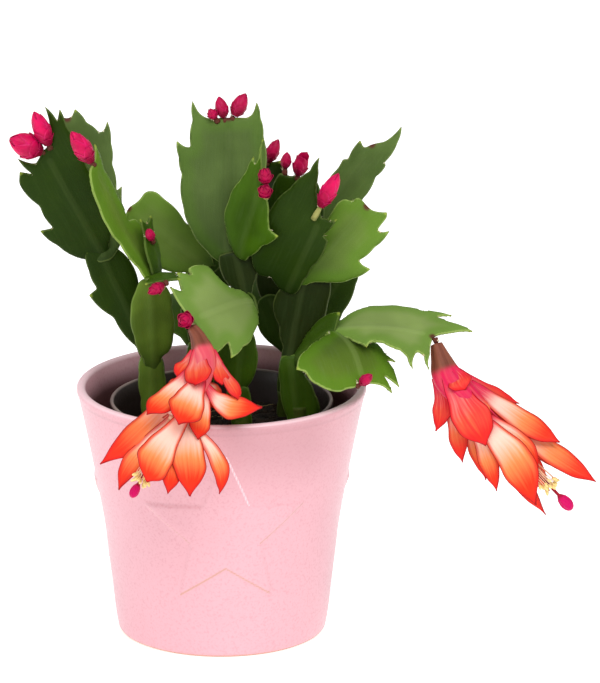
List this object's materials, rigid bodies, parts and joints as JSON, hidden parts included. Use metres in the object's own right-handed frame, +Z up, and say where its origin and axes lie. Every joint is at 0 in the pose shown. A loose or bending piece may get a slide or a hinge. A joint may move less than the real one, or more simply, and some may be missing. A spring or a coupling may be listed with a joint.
{
  "type": "potted christmas cactus",
  "caption": "Christmas cactus with toothed flat stem segments, magenta buds and hanging orange-red flowers, in a flared pink glazed ceramic pot with raised stars.",
  "frame": {"origin": "middle of the ceramic pot's flat foot", "axes": "+Z up; +X towards the right-hand flower, which reaches furthest; -Y is the front"},
  "size_m": [0.2234, 0.1543, 0.211],
  "materials": {
    "pink_glaze": "gloss",
    "nursery_plastic": "satin",
    "potting_soil": "matte",
    "cactus_green": "satin",
    "bud_magenta": "satin",
    "petal_orange": "satin",
    "stamen_cream": "matte",
    "pistil_magenta": "satin"
  },
  "bodies": {
    "root": {"ceramic_pot": "pink_glaze", "nursery_pot": "nursery_plastic", "soil": "potting_soil", "stem_front_left": "cactus_green", "stem_centre": "cactus_green", "stem_right": "cactus_green", "stem_back_left": "cactus_green", "stem_back_right": "cactus_green", "bud_left_outer": "bud_magenta", "bud_left_upper": "bud_magenta", "bud_left_side": "bud_magenta", "bud_small_side": "bud_magenta", "bud_small_front": "bud_magenta", "bud_crown_left": "bud_magenta", "bud_crown_middle": "bud_magenta", "bud_crown_right": "bud_magenta", "bud_centre_front": "bud_magenta", "bud_centre_low": "bud_magenta", "bud_nodding": "bud_magenta", "bud_back_narrow": "bud_magenta", "bud_back_dark": "bud_magenta", "bud_back_front": "bud_magenta", "bud_right_front": "bud_magenta", "bud_drooping": "bud_magenta", "flower_left_petals": "petal_orange", "flower_left_stamens": "stamen_cream", "flower_left_pistil": "pistil_magenta", "flower_right_petals": "petal_orange", "flower_right_stamens": "stamen_cream", "flower_right_pistil": "pistil_magenta"}
  },
  "joints": []
}
